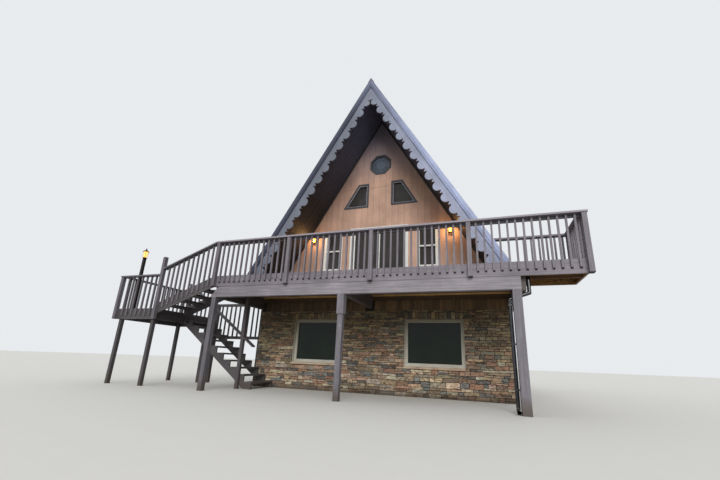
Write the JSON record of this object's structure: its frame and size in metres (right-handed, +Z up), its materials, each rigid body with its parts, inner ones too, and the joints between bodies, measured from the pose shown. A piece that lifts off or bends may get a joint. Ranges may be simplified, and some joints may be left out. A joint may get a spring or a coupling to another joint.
{
  "type": "a-frame cabin",
  "caption": "Raised A-frame cabin on a stone lower storey, with scalloped gable boards, a railed front deck and a side stair.",
  "frame": {"origin": "middle of the lower storey's footprint, at ground level, under the ridge", "axes": "+X to the right along the front, +Y to the back of the house, +Z up"},
  "size_m": [11.859, 10.831, 9.3378],
  "materials": {
    "concrete": "rough",
    "ledger_stone": "rough split face",
    "putty_frame": "satin",
    "window_glass": "clear",
    "floor_timber": "rough sawn",
    "shingle": "mineral granules",
    "gable_paint": "weathered paint",
    "dark_trim": "paint",
    "siding": "stained",
    "white_trim": "satin",
    "lamp_metal": "satin",
    "black_metal": "gloss",
    "deck_paint": "weathered paint"
  },
  "bodies": {
    "root": {"ground_slab": "concrete", "stone_front_wall": "ledger_stone", "stone_back_wall": "ledger_stone", "stone_left_wall": "ledger_stone", "stone_right_wall": "ledger_stone", "lower_window_frames": "putty_frame", "lower_window_glass": "window_glass", "lower_window_sills": "putty_frame", "main_floor": "floor_timber", "loft_floor": "floor_timber", "roof_left": "shingle", "roof_right": "shingle", "ridge_cap": "shingle", "front_rake_board": "gable_paint", "front_scalloped_board": "gable_paint", "back_rake_board": "gable_paint", "back_scalloped_board": "gable_paint", "soffit_trim": "dark_trim", "front_gable_wall": "siding", "back_gable_wall": "siding", "octagon_window": "dark_trim", "raked_windows": "dark_trim", "sash_windows": "white_trim", "upper_glass": "window_glass", "patio_door_frame": "white_trim", "patio_door_panels": "white_trim", "patio_door_glass": "window_glass", "wall_lamps": "lamp_metal", "deck_boards": "deck_paint", "deck_rim": "deck_paint", "deck_joists": "floor_timber", "deck_beam": "deck_paint", "cross_beams": "deck_paint", "ledger_board": "floor_timber", "post_left": "deck_paint", "post_centre": "deck_paint", "post_right": "deck_paint", "centre_post_wrap": "deck_paint", "downspout": "black_metal", "front_rail_posts": "deck_paint", "front_balusters": "deck_paint", "front_rail_cap": "deck_paint", "right_railing": "deck_paint", "rear_railing": "deck_paint", "upper_stringers": "deck_paint", "upper_treads": "deck_paint", "upper_flight_railing": "deck_paint", "side_platform": "deck_paint", "platform_legs": "deck_paint", "platform_front_railing": "deck_paint", "platform_side_railing": "deck_paint", "platform_back_railing": "deck_paint", "lower_stringers": "deck_paint", "lower_treads": "deck_paint", "lower_handrail": "deck_paint", "guard_panel": "deck_paint", "newel_post": "deck_paint", "lamp_post": "lamp_metal"}
  },
  "joints": []
}
